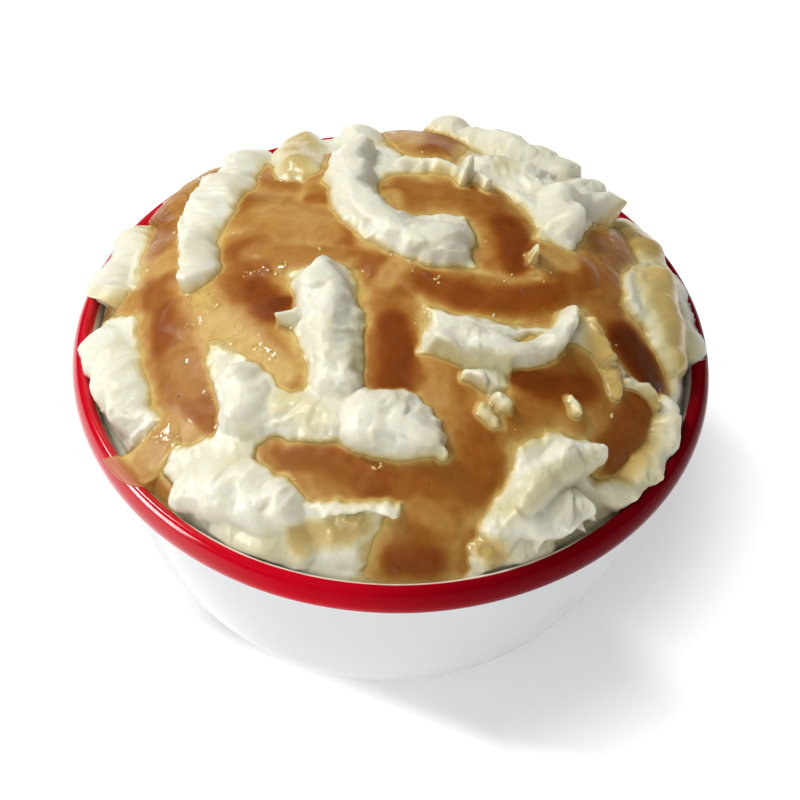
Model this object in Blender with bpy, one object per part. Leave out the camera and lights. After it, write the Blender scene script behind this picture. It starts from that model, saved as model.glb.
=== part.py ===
"""A side of mashed potato and gravy, heaped in a round enamelled steel bowl.

The frame is in metres with +Z up. Its origin is on the table, under the middle of the bowl,
and -Y is the side that the gravy runs down to the rim on. Four solids are made:

bowl        the pressed and enamelled sheet, with its curled rim and its flat foot
mash        all of the potato, from the bottom of the bowl to the folds on top of the heap
gravy       the sauce that lies between the folds, with the tongue of it that crosses the rim
gravy_back  the smaller pool behind the curl

The top of the heap is described on a dome. A place on the dome is (u, v), in millimetres walked
over the dome from its peak, u towards +X and v towards +Y. Folds and runs of gravy are strokes
through such places, and they raise or lower the dome along its own normals.
"""

import functools
import math

import bmesh
import bpy
import numpy as np

MM = 0.001

# The bowl, all in millimetres.
RIM_RADIUS = 60.0
BOWL_HEIGHT = 55.0
BEAD_HALF_WIDTH = 1.9
BEAD_HALF_HEIGHT = 3.4
SHEET = 1.1
FOOT_RADIUS = 29.0
FOOT_RECESS_RADIUS = 23.0
FOOT_RECESS = 0.6
FOOT_STEP = 1.5
WALL_TOP = (56.6, 48.2)
WALL_LEAN = math.radians(12.0)
FOOT_CURVE_PULL = 15.5
WALL_CURVE_PULL = 22.0
WALL_STEPS = 7
BEAD_STEPS = 7
BOWL_SEGMENTS = 44

# The heap, in millimetres.
GAP = 0.4
EDGE_HEIGHT = 51.0
DOME_HEIGHT = 27.0
DOME_RADIAL_POWER = 2.2
DOME_UPRIGHT_POWER = 1.8
GRID = 35
SIDE_HEIGHTS = (38.0, 20.0, 7.0)
FOLD_BLEND = 1.0
SIDE_SLOPE = 3.0
WAVE_HEIGHT = 0.5
EDGE_MARGIN = 5.0
OVERHANG_START = 53.0
OVERHANG_SLOPE = 0.5

# The gravy, in millimetres.
GRAVY_BED = 0.3
GRAVY_LEAST = 0.55
GRAVY_EDGE_DROP = 1.2
GRAVY_SNAP = 0.25
GRAVY_NODES = ("gravy", "gravy_back")

# Each fold of potato: its height above the dome, then the places (u, v, half width) it runs through.
FOLDS = {
    "left lobe": (3.2, ((-61, 24, 4), (-58, 14, 4.4), (-52, 5, 2.6))),
    "long left band": (3.4, ((-32, 48, 5), (-34, 34, 5), (-36.5, 16, 4.2), (-37, 1, 4.2))),
    "back left mound": (2.6, ((-20, 46, 5), (-19.5, 31, 5))),
    "back shoulder": (2.4, ((-9, 56, 5), (-8, 46, 5))),
    "curl": (
        4.8,
        ((-6, 42, 3.6), (-9, 32, 4), (-9, 23, 4.6), (-6, 14, 4.4), (2, 9, 5.8), (10, 8.5, 7.2)),
    ),
    "back chips": (2.6, ((2, 33, 1.8), (8, 31, 1.6))),
    "back crest": (5.2, ((12, 54, 3), (15, 44, 4.4), (22, 43, 6), (31, 38, 6))),
    "back face": (2.6, ((14, 34, 3), (22, 33, 6), (30, 30, 5))),
    "back step": (4.0, ((38, 34, 4.5), (32, 26, 5.5), (31.5, 15, 4.6))),
    "right shoulder": (3.2, ((50, 12, 4.6), (54, 5, 6.5), (59, -4, 5.5))),
    "right lobe": (3.4, ((58, 25, 3.6), (62, 14, 5), (64, 2, 4))),
    "middle lump": (4.4, ((-14, -3, 4.6), (-11.5, -12, 6.4), (-11, -22, 5.4), (-13, -30, 4))),
    "left lump": (3.8, ((-28, -24, 5), (-26, -31, 5.5))),
    "left lump skirt": (1.8, ((-20, -32, 4.5), (-12, -35, 4))),
    "left bank": (3.2, ((-62, -4, 5), (-57, -13, 6.5), (-52, -24, 6))),
    "crescent": (4.6, ((9, -18, 4.6), (14, -16, 5.4), (20, -16.5, 3.8), (26, -13, 3), (34, -4, 2.8))),
    "crescent foot": (3.0, ((17, -22, 3.2), (17.5, -24, 2.8))),
    "front lump": (5.2, ((-3, -34, 5.8), (2, -35, 7), (9, -37, 3))),
    "crumb": (2.6, ((21, -27, 2.4), (21.5, -29, 2.2))),
    "far crumb": (2.6, ((35, -24.5, 2.2), (35.5, -26, 2.2))),
    "finger": (3.0, ((37.5, -3, 2), (39, -9, 2.8), (42, -14, 2.8), (46, -17, 1.8), (50, -16.5, 1.8))),
    "right ridge": (4.2, ((21, -51, 4.4), (28, -42, 4.8), (36, -33, 4.4))),
    "torn flap": (4.0, ((25, -52, 3.4), (33, -48, 4), (42, -43, 3.2))),
    "right bank": (3.4, ((61, -14, 3.6), (57, -25, 4.4), (47, -38, 4.4))),
    "front left bank": (3.8, ((-42, -41, 4.6), (-34, -44, 6.4), (-21, -50, 6.4))),
    "front left foot": (2.2, ((-34, -54, 4), (-18, -58, 4))),
    "front strip": (2.4, ((-13, -51.5, 1.6), (5, -51.3, 1.7))),
    "front right foot": (2.2, ((21, -58, 4), (33, -54, 3))),
}

# Each run of gravy: the height of its surface above the dome, its depth, and its places as above.
RUNS = {
    "left stream top": (-0.6, 2.2, ((-41, 44, 5), (-45.5, 30, 7), (-46, 16, 5.6), (-46, 4, 5))),
    "left stream": (-0.8, 2.6, ((-46, 4, 5), (-45.5, -10, 5.4), (-42, -22, 5.6), (-38.5, -31, 6.6))),
    "left branch": (-0.4, 1.4, ((-47, 0, 4.4), (-54, 3, 3.8), (-63, 8, 2.6))),
    "rim run": (0.4, 1.6, ((-42, -31, 5.5), (-50, -34, 6.4), (-60, -39, 6.4))),
    "left pool": (
        0.2,
        1.6,
        ((-40, -9, 5), (-35, -9, 6.5), (-31, -12, 8), (-24, -16, 5.4), (-17.5, -26.5, 3.6)),
    ),
    "middle pool": (0.2, 2.4, ((-28, 21, 5.5), (-24, 14, 10), (-10, 8, 5.6), (0, 1, 5.4))),
    "middle pool back": (0.0, 1.8, ((-27.5, 38, 2.6), (-25.5, 27, 3.2), (-20, 23, 3.6))),
    "mound run": (0.2, 1.6, ((-12.5, 36, 2.4), (-14.5, 27, 3.2), (-15, 20, 4.6))),
    "middle pit": (-0.6, 2.6, ((-28, 6, 6), (-25.5, -4, 6.2), (-22, -11, 5))),
    "middle stream": (-0.8, 2.6, ((-3, 2, 6), (0.5, -9, 6.4), (1, -19, 6.6), (-0.5, -26, 7.2))),
    "curl stream": (-0.2, 2.6, ((3, 22, 8.4), (12, 22, 8.4), (19.5, 15, 7.6), (21, 5, 6.6))),
    "right pool": (-0.4, 2.4, ((4, -3, 4.6), (13, -5, 6.8), (22, -5, 7.6), (28, -3, 6.4), (35, 1, 5.6))),
    "right link": (0.2, 1.6, ((28, 6, 4.6), (33, 5, 4.4))),
    "right stream": (-0.6, 2.4, ((55, 33, 5), (47, 22, 6), (40.5, 12, 5.4), (39, 2, 6.2))),
    "right deep": (-0.6, 2.4, ((39, 2, 6.2), (46, -7, 7.2), (54, -12, 5))),
    "right fall": (-1.0, 2.4, ((54, -12, 4.6), (53, -19, 5), (47.5, -26, 6.8), (44, -34, 4.2))),
    "lower right pool": (-0.6, 2.2, ((25, -20, 5.6), (33, -18, 7), (41, -21, 6))),
    "middle link": (-0.8, 2.6, ((2, -24, 5.5), (9, -26, 5))),
    "lower right skirt": (-0.4, 2.0, ((17, -34, 4), (24, -29, 5.4), (33, -26.5, 5.4))),
    "middle right stream": (-0.6, 2.4, ((9, -23, 5.4), (13, -31, 7.8), (17, -39, 7.8))),
    "front band": (-0.2, 2.6, ((-22.5, -39.5, 3.4), (-13, -42, 5.6), (0, -46.2, 5.2), (10, -46, 6.8))),
    "front band end": (-0.2, 2.6, ((10, -46, 6.8), (20, -41.5, 6))),
    "front fall": (-0.2, 2.2, ((12, -47, 8), (9.5, -56, 8.4), (6.5, -65, 11))),
    "back pool": (0.4, 2.0, ((4, 55, 6), (5, 43, 5.6), (6, 37, 5))),
}

# The gravy that has run over the rim: which way it lies, how wide it is, and how far out it goes.
SPILL_TURN = math.radians(212.0)
SPILL_HALF_TURN = math.radians(8.0)
SPILL_START = 54.0
SPILL_OUTER_RADIUS = 59.4
SPILL_THICKNESS = 1.2


def cubic(p0, p1, p2, p3, steps):
    """Points along a Bezier curve, both ends among them."""
    t = np.linspace(0.0, 1.0, steps + 1)[:, None]
    p0, p1, p2, p3 = (np.array(p, float) for p in (p0, p1, p2, p3))
    return (1 - t) ** 3 * p0 + 3 * (1 - t) ** 2 * t * p1 + 3 * (1 - t) * t**2 * p2 + t**3 * p3


@functools.cache
def wall(depth):
    """(radius, height) from the foot up to the rim, this deep inside the bowl's outer surface."""
    top_radius, top_height = WALL_TOP
    foot_pull = (FOOT_RADIUS + FOOT_CURVE_PULL, 0.0)
    top_pull = (
        top_radius - WALL_CURVE_PULL * math.sin(WALL_LEAN),
        top_height - WALL_CURVE_PULL * math.cos(WALL_LEAN),
    )
    outer = cubic((FOOT_RADIUS, 0.0), foot_pull, top_pull, WALL_TOP, WALL_STEPS)
    along = np.gradient(outer, axis=0)
    along /= np.linalg.norm(along, axis=1)[:, None]
    return outer + depth * np.stack([-along[:, 1], along[:, 0]], axis=1)


def mash_radius(height):
    """How far the potato reaches towards the wall at a height."""
    side = wall(SHEET + GAP)
    return np.interp(height, side[:, 1], side[:, 0])


def bead(start, end, steps):
    """(radius, height) round the rim's bead, between two angles in degrees: 0 is outermost, 90 on top."""
    angles = np.radians(np.linspace(start, end, steps + 1))
    radius = RIM_RADIUS - BEAD_HALF_WIDTH + BEAD_HALF_WIDTH * np.cos(angles)
    height = BOWL_HEIGHT - BEAD_HALF_HEIGHT + BEAD_HALF_HEIGHT * np.sin(angles)
    return np.stack([radius, height], axis=1)


def make_finish(name, color, roughness):
    """A material of one colour and gloss."""
    finish = bpy.data.materials.new(name)
    finish.use_nodes = True
    shader = finish.node_tree.nodes["Principled BSDF"]
    shader.inputs["Base Color"].default_value = (*color, 1.0)
    shader.inputs["Roughness"].default_value = roughness
    shader.inputs["Metallic"].default_value = 0.0
    return finish


def add_object(name, bm, *finishes):
    """Turns the finished bmesh into one named object of the scene."""
    bmesh.ops.recalc_face_normals(bm, faces=bm.faces)
    mesh = bpy.data.meshes.new(name)
    bm.to_mesh(mesh)
    bm.free()
    for finish in finishes:
        mesh.materials.append(finish)
    mesh.shade_smooth()
    mesh.set_sharp_from_angle(angle=math.radians(40))
    part = bpy.data.objects.new(name, mesh)
    bpy.context.scene.collection.objects.link(part)
    return part


def make_bowl():
    """Revolves the bowl's closed section round the Z axis, then gives the bead its red enamel."""
    section = [
        (0.0, FOOT_RECESS),
        (FOOT_RECESS_RADIUS, FOOT_RECESS),
        (FOOT_RECESS_RADIUS + FOOT_STEP, 0.0),
        *wall(0.0),
        *bead(-125, 155, BEAD_STEPS),
        *wall(SHEET)[::-1],
        (FOOT_RECESS_RADIUS, FOOT_RECESS + SHEET),
        (0.0, FOOT_RECESS + SHEET),
    ]
    bm = bmesh.new()
    points = [bm.verts.new((radius * MM, 0.0, height * MM)) for radius, height in section]
    edges = [bm.edges.new(pair) for pair in zip(points, points[1:])]
    bmesh.ops.spin(
        bm, geom=points + edges, axis=(0, 0, 1), cent=(0, 0, 0), steps=BOWL_SEGMENTS, angle=math.tau
    )
    bmesh.ops.remove_doubles(bm, verts=bm.verts, dist=0.01 * MM)
    bead_bottom = (BOWL_HEIGHT - 2 * BEAD_HALF_HEIGHT) * MM
    bead_inside = (RIM_RADIUS - 2 * BEAD_HALF_WIDTH) * MM
    for face in bm.faces:
        center = face.calc_center_median()
        in_bead = center.z > bead_bottom and math.hypot(center.x, center.y) > bead_inside
        face.material_index = int(in_bead)
    white = make_finish("white enamel", (0.86, 0.87, 0.86), 0.15)
    red = make_finish("red enamel", (0.62, 0.008, 0.02), 0.12)
    add_object("bowl", bm, white, red)


@functools.cache
def meridian():
    """The dome's section: distance walked from the peak, radius, height, and the normal's two parts."""
    angle = np.linspace(0.0, math.pi / 2, 1500)
    radius = mash_radius(EDGE_HEIGHT) * np.sin(angle) ** (2 / DOME_RADIAL_POWER)
    height = DOME_HEIGHT * np.cos(angle) ** (2 / DOME_UPRIGHT_POWER)
    walked = np.concatenate([[0.0], np.cumsum(np.hypot(np.diff(radius), np.diff(height)))])
    return walked, radius, EDGE_HEIGHT + height, -np.gradient(height, walked), np.gradient(radius, walked)


def smooth_path(path, steps=4):
    """More points along a stroke, on a curve that runs through the given ones."""
    nodes = np.array([path[0], *path, path[-1]], float)
    points = []
    for before, start, end, after in zip(nodes, nodes[1:], nodes[2:], nodes[3:]):
        for t in np.arange(steps) / steps:
            points.append(
                0.5
                * (
                    2 * start
                    + (end - before) * t
                    + (2 * before - 5 * start + 4 * end - after) * t**2
                    + (3 * start - before - 3 * end + after) * t**3
                )
            )
    return np.array([*points, nodes[-1]])


def inside(u, v, path):
    """How far each place lies inside a stroke's edge: in millimetres, and as a share of its width."""
    depth = np.full(np.shape(u), -np.inf)
    share = np.full(np.shape(u), -np.inf)
    nodes = smooth_path(path)
    for (u0, v0, width0), (u1, v1, width1) in zip(nodes, nodes[1:]):
        du, dv = u1 - u0, v1 - v0
        t = np.clip(((u - u0) * du + (v - v0) * dv) / max(du * du + dv * dv, 1e-9), 0.0, 1.0)
        width = width0 + t * (width1 - width0)
        distance = np.hypot(u - u0 - t * du, v - v0 - t * dv)
        depth = np.maximum(depth, width - distance)
        share = np.maximum(share, 1.0 - distance / width)
    return depth, np.clip(share, 0.0, 1.0)


def rounded(share):
    """A stroke's cross-section: steep at its edge and flat along its middle."""
    return (1.0 - (1.0 - share) ** 2) ** 0.8


def larger(a, b, blend):
    """The larger of two heights, with the corner between them rounded."""
    mix = np.clip(0.5 + 0.5 * (a - b) / blend, 0.0, 1.0)
    return b + (a - b) * mix + blend * mix * (1.0 - mix)


def relief(u, v):
    """Heights above the dome at (u, v): the potato's, and the gravy's where there is any."""
    waves = WAVE_HEIGHT * np.sin(u * 0.31 + 0.8 * np.sin(v * 0.17)) * np.sin(v * 0.27 + 1.1)
    bed = np.zeros_like(u)
    gravy = np.full_like(u, -9.0)
    for level, depth, path in RUNS.values():
        inward, share = inside(u, v, path)
        fullness = rounded(share)
        surface = level - GRAVY_EDGE_DROP * (1.0 - fullness) + SIDE_SLOPE * np.minimum(inward, 0.0)
        gravy = np.maximum(gravy, surface)
        bed = np.minimum(bed, (level - depth) * fullness)
    mash = waves + bed
    for height, path in FOLDS.values():
        inward, share = inside(u, v, path)
        fold = waves + height * rounded(share) + SIDE_SLOPE * np.minimum(inward, 0.0)
        mash = larger(mash, fold, FOLD_BLEND)
    return mash, gravy


def place(u, v, raised):
    """The point that is raised from the dome at (u, v), kept clear of the bowl's wall and rim."""
    walked, radius, height, outward, upward = meridian()
    distance = np.hypot(u, v)
    lookup = np.minimum(distance, walked[-1])
    r = np.interp(lookup, walked, radius) + raised * np.interp(lookup, walked, outward)
    z = np.interp(lookup, walked, height) + raised * np.interp(lookup, walked, upward)
    overhang = np.maximum(0.0, z - OVERHANG_START) * OVERHANG_SLOPE
    r = np.minimum(r, mash_radius(EDGE_HEIGHT) + overhang)
    angle = np.arctan2(v, u)
    return np.stack([r * np.cos(angle), r * np.sin(angle), z], axis=-1)


def spill(u, v, point, lift):
    """Carries a point out over the rim where the gravy has run over it, clear of the bead."""
    turn = math.atan2(v, u) % math.tau
    across = (turn - SPILL_TURN) / SPILL_HALF_TURN
    along = (math.hypot(u, v) - SPILL_START) / (meridian()[0][-1] - SPILL_START)
    if abs(across) > 1.0 or along < 0.0:
        return point
    radius = math.hypot(point[0], point[1])
    radius += (SPILL_OUTER_RADIUS - radius) * along * math.sqrt(1.0 - across**2)
    height = point[2]
    if radius > RIM_RADIUS - 3 * BEAD_HALF_WIDTH:
        height = max(height, BOWL_HEIGHT + lift)
    return np.array([radius * math.cos(turn), radius * math.sin(turn), height])


def disc(count):
    """A square grid bent into a disc of the dome's whole spread, as (count + 1) squared places."""
    a, b = np.meshgrid(np.linspace(-1, 1, count + 1), np.linspace(-1, 1, count + 1), indexing="ij")
    wide = np.abs(a) >= np.abs(b)
    reach = np.where(wide, a, b)
    share = np.where(wide, b, a) / np.where(reach == 0.0, 1.0, reach)
    turn = share * math.pi / 4
    spread = meridian()[0][-1]
    u = np.where(wide, reach * np.cos(turn), reach * np.sin(turn))
    v = np.where(wide, reach * np.sin(turn), reach * np.cos(turn))
    return u * spread, v * spread


def make_top():
    """The heap's top as a flat mesh of triangles, which keeps (u, v) and both heights on each vertex."""
    u, v = disc(GRID)
    mash, gravy = relief(u, v)
    to_edge = meridian()[0][-1] - np.hypot(u, v)
    mash = mash * np.clip(to_edge / EDGE_MARGIN, 0.0, 1.0)
    bm = bmesh.new()
    fields = {"u": u, "v": v, "mash": mash, "gravy": gravy}
    layers = {name: bm.verts.layers.float.new(name) for name in fields}
    verts = {}
    for index in np.ndindex(u.shape):
        vert = bm.verts.new((u[index], v[index], 0.0))
        for name, values in fields.items():
            vert[layers[name]] = values[index]
        verts[index] = vert
    for i, j in np.ndindex(GRID, GRID):
        a, b, c, d = verts[i, j], verts[i + 1, j], verts[i + 1, j + 1], verts[i, j + 1]
        if (i < GRID / 2) == (j < GRID / 2):
            bm.faces.new((a, b, c))
            bm.faces.new((a, c, d))
        else:
            bm.faces.new((a, b, d))
            bm.faces.new((b, c, d))
    return bm, layers


def make_mash():
    """Raises the top, then carries its edge down the inside of the bowl and closes it underneath."""
    bm, layers = make_top()
    for vert in bm.verts:
        vert.co = place(vert[layers["u"]], vert[layers["v"]], vert[layers["mash"]]) * MM
    edge = [edge for edge in bm.edges if edge.is_boundary]
    for height in (*SIDE_HEIGHTS, FOOT_RECESS + SHEET + GAP):
        made = bmesh.ops.extrude_edge_only(bm, edges=edge)["geom"]
        edge = [item for item in made if isinstance(item, bmesh.types.BMEdge)]
        radius = mash_radius(height)
        for vert in {vert for side in edge for vert in side.verts}:
            angle = math.atan2(vert.co.y, vert.co.x)
            vert.co = (radius * math.cos(angle) * MM, radius * math.sin(angle) * MM, height * MM)
    bmesh.ops.contextual_create(bm, geom=edge)
    bmesh.ops.triangulate(bm, faces=[face for face in bm.faces if len(face.verts) > 4])
    add_object("mash", bm, make_finish("potato", (0.83, 0.76, 0.55), 0.45))


def connected_pieces(bm):
    """The faces of a mesh as lists that share no vertex or edge, the longest list first."""
    left = set(bm.faces)
    pieces = []
    while left:
        front = [left.pop()]
        piece = list(front)
        while front:
            near = {other for edge in front.pop().edges for other in edge.link_faces} & left
            left -= near
            front.extend(near)
            piece.extend(near)
        pieces.append(piece)
    return sorted(pieces, key=len, reverse=True)


def make_gravy(name, rank):
    """One pool of gravy: the top, cut where the pool stands clear of the potato, then thickened."""
    bm, layers = make_top()
    for vert in bm.verts:
        vert.co.z = vert[layers["gravy"]] - vert[layers["mash"]] - GRAVY_LEAST
    geometry = bm.verts[:] + bm.edges[:] + bm.faces[:]
    bmesh.ops.bisect_plane(
        bm, geom=geometry, dist=GRAVY_SNAP, plane_co=(0, 0, 0), plane_no=(0, 0, 1), clear_inner=True
    )
    pieces = connected_pieces(bm)
    del pieces[rank]
    bmesh.ops.delete(bm, geom=[face for piece in pieces for face in piece], context="FACES")
    bmesh.ops.triangulate(bm, faces=bm.faces)
    made = bmesh.ops.extrude_face_region(bm, geom=bm.faces[:], use_keep_orig=True)["geom"]
    upper = {item for item in made if isinstance(item, bmesh.types.BMVert)}
    for vert in bm.verts:
        u, v = vert[layers["u"]], vert[layers["v"]]
        mash, gravy = vert[layers["mash"]], vert[layers["gravy"]]
        raised = max(gravy, mash + GRAVY_LEAST) if vert in upper else mash + GRAVY_BED
        lift = GAP + (SPILL_THICKNESS if vert in upper else 0.0)
        vert.co = spill(u, v, place(u, v, raised), lift) * MM
    add_object(name, bm, make_finish(name, (0.36, 0.16, 0.035), 0.12))


def main():
    for old in list(bpy.data.objects):
        bpy.data.objects.remove(old)
    make_bowl()
    make_mash()
    for rank, name in enumerate(GRAVY_NODES):
        make_gravy(name, rank)


main()
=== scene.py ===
import math

import bpy
import numpy as np
from mathutils import Matrix, Vector


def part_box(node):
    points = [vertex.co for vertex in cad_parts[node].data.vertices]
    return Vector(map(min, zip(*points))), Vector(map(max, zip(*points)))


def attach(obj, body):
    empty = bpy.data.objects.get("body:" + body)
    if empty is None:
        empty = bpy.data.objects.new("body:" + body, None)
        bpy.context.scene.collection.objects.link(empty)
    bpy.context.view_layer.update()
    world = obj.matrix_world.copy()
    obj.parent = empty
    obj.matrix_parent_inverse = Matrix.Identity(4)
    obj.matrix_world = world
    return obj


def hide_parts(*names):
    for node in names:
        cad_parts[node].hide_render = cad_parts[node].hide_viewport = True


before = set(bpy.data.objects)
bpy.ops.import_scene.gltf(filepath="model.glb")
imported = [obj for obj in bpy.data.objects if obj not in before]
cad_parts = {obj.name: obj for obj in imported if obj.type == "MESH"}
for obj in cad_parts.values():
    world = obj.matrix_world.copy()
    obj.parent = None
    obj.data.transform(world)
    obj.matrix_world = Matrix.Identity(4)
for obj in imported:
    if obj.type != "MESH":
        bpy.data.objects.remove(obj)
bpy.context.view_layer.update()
mm = 0.001
mesh = bpy.ops.mesh
print("frame loaded, nodes:", ", ".join(sorted(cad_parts)))


def deselectAll():
    bpy.ops.object.select_all(action="DESELECT")


def openForEdit(piece, mode):
    deselectAll()
    piece.select_set(True)
    bpy.context.view_layer.objects.active = piece
    bpy.ops.object.mode_set(mode="EDIT")
    mesh.select_mode(type=mode)
    mesh.select_all(action="DESELECT")


def link(made):
    bpy.context.scene.collection.objects.link(made)


def closeEdit():
    bpy.ops.object.mode_set(mode="OBJECT")


def extrudeRing(radius, height, nextRadius, nextHeight):  # the selected ring of edges, in millimetres
    mesh.extrude_region_move(TRANSFORM_OT_translate={"value": (0, 0, (nextHeight - height) * mm)})
    scale = nextRadius / radius
    bpy.ops.transform.resize(value=(scale, scale, 1), center_override=(0, 0, nextHeight * mm))


def selectAll():
    mesh.select_all(action="SELECT")


def makeTriangles():
    selectAll()
    mesh.quads_convert_to_tris(quad_method="SHORTEST_DIAGONAL")


def turnOutward():
    selectAll()
    mesh.normals_make_consistent(inside=False)
    closeEdit()


def readPoints(piece):  # every vertex in millimetres
    points = np.empty(len(piece.data.vertices) * 3)
    piece.data.vertices.foreach_get("co", points)
    return points.reshape(-1, 3) / mm


def writePoints(piece, points):
    piece.data.vertices.foreach_set("co", (points * mm).astype(np.float32).ravel())
    piece.data.update()


def readFields(piece, *names):
    fields = np.empty((len(names), len(piece.data.vertices)))
    for name, values in zip(names, fields):
        piece.data.attributes[name].data.foreach_get("value", values)
    return fields


def writeField(piece, name, values):
    field = piece.data.attributes.get(name) or piece.data.attributes.new(name, "FLOAT", "POINT")
    field.data.foreach_set("value", np.asarray(values, np.float32).ravel())


def noise(u, v, size, seed):  # smooth hills and hollows from about -1 to 1, each about size across
    rng = np.random.default_rng(seed)
    cells, strength = 512, 1.5
    slopes = rng.uniform(0, math.tau, (cells, cells))
    turn = rng.uniform(0, math.tau)
    x = (u * math.cos(turn) - v * math.sin(turn)) / size + cells / 2
    y = (u * math.sin(turn) + v * math.cos(turn)) / size + cells / 2
    column, row = np.floor(x).astype(int), np.floor(y).astype(int)
    x, y = x - column, y - row

    def corner(i, j):
        slope = slopes[(column + i) % cells, (row + j) % cells]
        return np.cos(slope) * (x - i) + np.sin(slope) * (y - j)

    easeX, easeY = x**3 * (x * (x * 6 - 15) + 10), y**3 * (y * (y * 6 - 15) + 10)
    low = corner(0, 0) + easeX * (corner(1, 0) - corner(0, 0))
    high = corner(0, 1) + easeX * (corner(1, 1) - corner(0, 1))
    return (low + easeY * (high - low)) * strength


def layer(values, u, v):
    size, amount, seed = values
    return amount * noise(u, v, size, seed)


def chunks(u, v, size, seed):  # broken faces from about -1 to 1, each tilted its own way
    rng = np.random.default_rng(seed)
    cells, sharpness, steepness = 128, 14, 0.7
    jitter, tilt = rng.uniform(0.1, 0.9, (2, cells, cells)), rng.uniform(-1, 1, (2, cells, cells))
    level = rng.uniform(-0.7, 0.7, (cells, cells))
    x, y = u / size + cells / 2, v / size + cells / 2
    column, row = np.floor(x).astype(int), np.floor(y).astype(int)
    total = weight = np.zeros_like(x)
    for i in (-1, 0, 1):
        for j in (-1, 0, 1):
            a, b = (column + i) % cells, (row + j) % cells
            dx, dy = x - column - i - jitter[0, a, b], y - row - j - jitter[1, a, b]
            share = np.exp(-sharpness * (dx * dx + dy * dy))
            total = total + share * (level[a, b] + steepness * (tilt[0, a, b] * dx + tilt[1, a, b] * dy))
            weight = weight + share
    return total / weight


def ease(low, high, values):  # 0 below low, 1 above high, smooth between
    t = np.clip((values - low) / (high - low), 0, 1)
    return t * t * (3 - 2 * t)


class Socket:  # a node's output that can stand in a sum
    def __init__(self, finish, output):
        self.finish, self.output = finish, output

    def calc(self, operation, first, second):
        return self.finish.node("Math", {"operation": operation}, {0: first, 1: second})

    def absolute(self):
        return self.calc("ABSOLUTE", self, 0.0)

    def atLeast(self, other):
        return self.calc("MAXIMUM", self, other)

    def between(self, low, high):  # 0 below low, 1 above high
        settings = {"interpolation_type": "SMOOTHSTEP"}
        return self.finish.node("MapRange", settings, {0: self, 1: low, 2: high})


def addOperator(name, operation):
    setattr(Socket, f"__{name}__", lambda self, other: self.calc(operation, self, other))
    setattr(Socket, f"__r{name}__", lambda self, other: self.calc(operation, other, self))


operators = {"add": "ADD", "sub": "SUBTRACT", "mul": "MULTIPLY", "truediv": "DIVIDE", "pow": "POWER"}
for item in operators.items():
    addOperator(*item)


class Finish:  # a material and its nodes
    def __init__(self, name, **values):
        self.material = bpy.data.materials.new(name)
        self.material.use_nodes = True
        self.tree = self.material.node_tree
        self.shader = self.tree.nodes["Principled BSDF"]
        for socket, value in values.items():
            self.shader.inputs[socket.replace("_", " ")].default_value = value

    def node(self, kind, settings=None, inputs=None, output=0):
        made = self.tree.nodes.new("ShaderNode" + kind)
        for name, value in (settings or {}).items():
            if name == "stops":
                self.setStops(made.color_ramp, value)
            else:
                setattr(made, name, value)
        for name, value in (inputs or {}).items():
            self.connect(made.inputs[name], value)
        return Socket(self, made.outputs[output])

    def setStops(self, ramp, stops):
        while len(ramp.elements) < len(stops):
            ramp.elements.new(1.0)
        for element, (place, color) in zip(ramp.elements, stops):
            element.position = place
            element.color = (*color, 1.0)

    def connect(self, target, value):
        if isinstance(value, Socket):
            self.tree.links.new(value.output, target)
        else:
            target.default_value = value

    def field(self, name):  # a number that the piece carries on its vertices
        return self.node("Attribute", {"attribute_name": name}, output="Fac")

    def place(self):
        return self.node("TexCoord", output="Object")

    def coordinates(self):
        made = self.node("SeparateXYZ", None, {0: self.place()})
        return [Socket(self, output) for output in made.output.node.outputs]

    def grain(self, size, detail, roughness=0.5, distortion=0.0):  # size in millimetres
        inputs = dict(Scale=1 / (size * mm), Detail=detail, Roughness=roughness, Distortion=distortion)
        return self.node("TexNoise", None, {"Vector": self.place(), **inputs})

    def blend(self, share, first, second):
        return self.node("Mix", {"data_type": "RGBA"}, {0: share, 6: first, 7: second}, output=2)

    def bump(self, height, depth, below=None):  # depth in millimetres
        inputs = {"Height": height, "Distance": depth * mm}
        if below:
            inputs["Normal"] = below
        return self.node("Bump", None, inputs)

    def feed(self, **sources):
        for socket, value in sources.items():
            self.connect(self.shader.inputs[socket.replace("_", " ")], value)
        return self.material


low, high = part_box("bowl")
bowl = {  # millimetres
    "rimRadius": high.x / mm,
    "height": high.z / mm,
    "beadHalfWidth": 1.9,
    "beadHalfHeight": 3.4,
    "sheet": 1.1,
    "footRadius": 29.0,
    "recessRadius": 23.0,
    "recess": 0.6,
    "footStep": 1.5,
    "wallTop": (56.6, 48.2),
    "wallLean": math.radians(12.0),
    "footPull": 15.5,
    "wallPull": 22.0,
    "segments": 256,
    "wallSteps": 36,
    "beadSteps": 30,
    "waviness": 0.05,
    "waveSize": 14.0,
}
beadCenter = (bowl["rimRadius"] - bowl["beadHalfWidth"], bowl["height"] - bowl["beadHalfHeight"])


def wallLine(depth):  # (radius, height) from the foot up to the rim, this deep inside the outer surface
    topRadius, topHeight = bowl["wallTop"]
    foot, pull, lean = bowl["footRadius"], bowl["wallPull"], bowl["wallLean"]
    underTop = (topRadius - pull * math.sin(lean), topHeight - pull * math.cos(lean))
    a, b, c, d = np.array([(foot, 0.0), (foot + bowl["footPull"], 0.0), underTop, bowl["wallTop"]])
    t = np.linspace(0, 1, bowl["wallSteps"] + 1)[:, None]
    outer = (1 - t) ** 3 * a + 3 * (1 - t) ** 2 * t * b + 3 * (1 - t) * t**2 * c + t**3 * d
    along = np.gradient(outer, axis=0)
    along /= np.linalg.norm(along, axis=1)[:, None]
    return outer + depth * np.stack([-along[:, 1], along[:, 0]], axis=1)


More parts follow.
